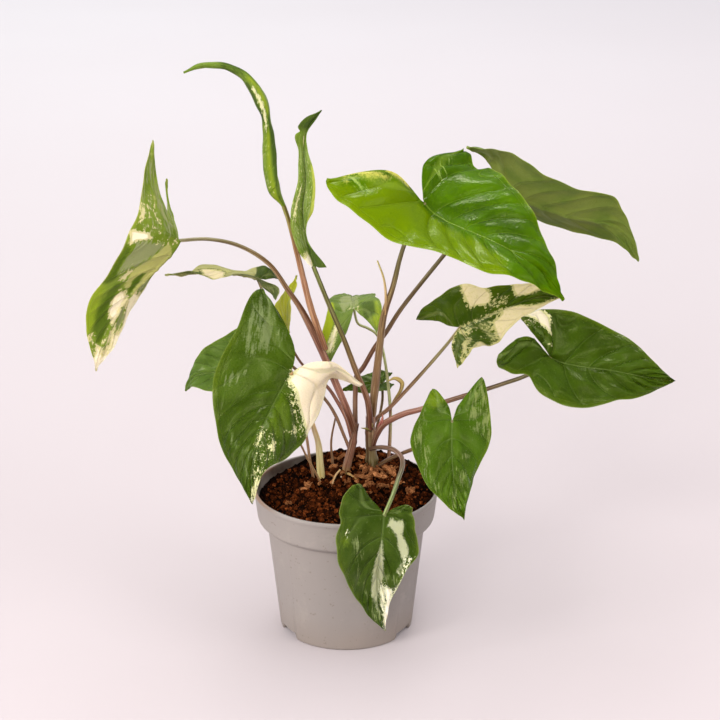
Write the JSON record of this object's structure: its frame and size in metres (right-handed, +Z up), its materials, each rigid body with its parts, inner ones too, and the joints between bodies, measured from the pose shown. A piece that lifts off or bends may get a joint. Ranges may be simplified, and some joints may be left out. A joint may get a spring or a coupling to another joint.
{
  "type": "potted arrowhead plant",
  "caption": "Variegated arrowhead plant with arching stalks, waved arrow-shaped leaves and two young rolled leaves, standing in soil in a round plastic nursery pot.",
  "frame": {"origin": "middle of the pot's foot on the ground", "axes": "+Z up, +X to the right and +Y to the back as the plant faces the viewer"},
  "size_m": [0.3653, 0.1975, 0.381],
  "materials": {
    "pot_plastic": "matte, slightly dusty",
    "potting_soil": "rough crumbs with bark chips",
    "stalk_pink": "satin",
    "stalk_brown": "satin",
    "stalk_olive": "satin",
    "stalk_tan": "satin",
    "stalk_cream": "satin",
    "stalk_pale": "satin",
    "blade_fresh": "waxy gloss",
    "blade_green": "waxy gloss",
    "blade_dark": "waxy gloss",
    "blade_grey": "waxy satin",
    "blade_marbled": "waxy gloss"
  },
  "bodies": {
    "root": {"pot": "pot_plastic", "soil": "potting_soil", "stem_middle": "stalk_pink", "stem_right": "stalk_brown", "dry_stalk_left": "stalk_tan", "dry_stalk_middle": "stalk_tan", "leaf_front_left_stalk": "stalk_cream", "leaf_far_left_stalk": "stalk_pink", "leaf_bright_stalk": "stalk_olive", "leaf_back_right_stalk": "stalk_pink", "leaf_marbled_right_stalk": "stalk_olive", "leaf_dark_right_stalk": "stalk_pink", "leaf_small_right_stalk": "stalk_olive", "leaf_over_rim_stalk": "stalk_olive", "leaf_centre_stalk": "stalk_pale", "leaf_thin_left_stalk": "stalk_tan", "leaf_dark_left_stalk": "stalk_tan", "leaf_yellow_back_stalk": "stalk_pink", "leaf_low_back_stalk": "stalk_olive", "leaf_twisted_stalk": "stalk_olive", "leaf_rolled_stalk": "stalk_tan", "leaf_front_left_blade": "blade_dark", "leaf_far_left_blade": "blade_marbled", "leaf_bright_blade": "blade_fresh", "leaf_back_right_blade": "blade_grey", "leaf_marbled_right_blade": "blade_marbled", "leaf_dark_right_blade": "blade_dark", "leaf_small_right_blade": "blade_green", "leaf_over_rim_blade": "blade_green", "leaf_centre_blade": "blade_grey", "leaf_thin_left_blade": "blade_marbled", "leaf_dark_left_blade": "blade_dark", "leaf_yellow_back_blade": "blade_fresh", "leaf_low_back_blade": "blade_dark", "leaf_twisted_blade": "blade_grey", "leaf_rolled_blade": "blade_fresh"}
  },
  "joints": []
}
